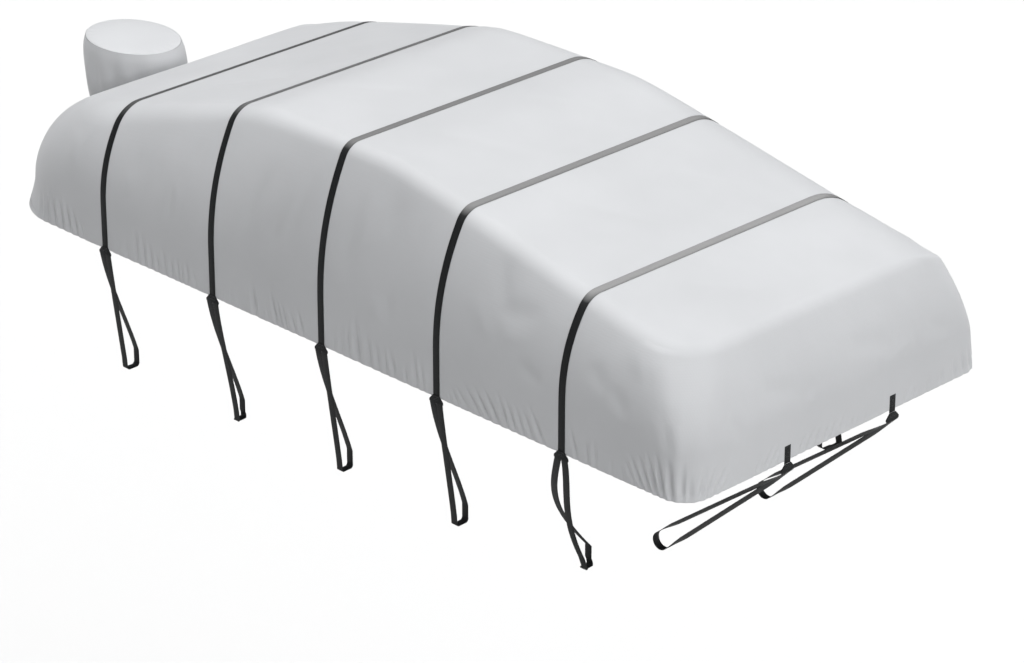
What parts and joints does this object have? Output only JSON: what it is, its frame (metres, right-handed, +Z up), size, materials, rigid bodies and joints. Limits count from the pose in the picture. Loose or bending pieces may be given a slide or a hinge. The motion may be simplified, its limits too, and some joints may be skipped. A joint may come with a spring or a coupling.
{
  "type": "boat cover",
  "caption": "Fitted cover of coated cloth with a ridged top, cross straps, tie loops at its hem and bow, and a small separate hood.",
  "frame": {"origin": "underside of the cloth on the ridge of the top, on the centreline over the middle strap: where the cover is held up", "axes": "+X to the bow, +Y to port, +Z up"},
  "size_m": [6.5642, 2.4728, 2.0533],
  "materials": {
    "coated_cloth": "pale grey coated polyester, matt",
    "webbing": "black polypropylene webbing, matt"
  },
  "bodies": {
    "root": {"cover": "coated_cloth", "strap_1": "webbing", "strap_2": "webbing", "strap_3": "webbing", "strap_4": "webbing", "strap_5": "webbing", "keeper_1_starboard": "webbing", "keeper_1_port": "webbing", "keeper_2_starboard": "webbing", "keeper_2_port": "webbing", "keeper_3_starboard": "webbing", "keeper_3_port": "webbing", "keeper_4_starboard": "webbing", "keeper_4_port": "webbing", "keeper_5_starboard": "webbing", "keeper_5_port": "webbing", "tie_1_starboard": "webbing", "tie_1_port": "webbing", "tie_2_starboard": "webbing", "tie_2_port": "webbing", "tie_3_starboard": "webbing", "tie_3_port": "webbing", "tie_4_starboard": "webbing", "tie_4_port": "webbing", "tie_5_starboard": "webbing", "tie_5_port": "webbing", "bow_tab_starboard": "webbing", "bow_tab_port": "webbing", "bow_keeper_starboard": "webbing", "bow_keeper_port": "webbing", "bow_tie_starboard": "webbing", "bow_tie_port": "webbing", "hood_band": "coated_cloth", "hood_top": "coated_cloth"}
  },
  "joints": []
}
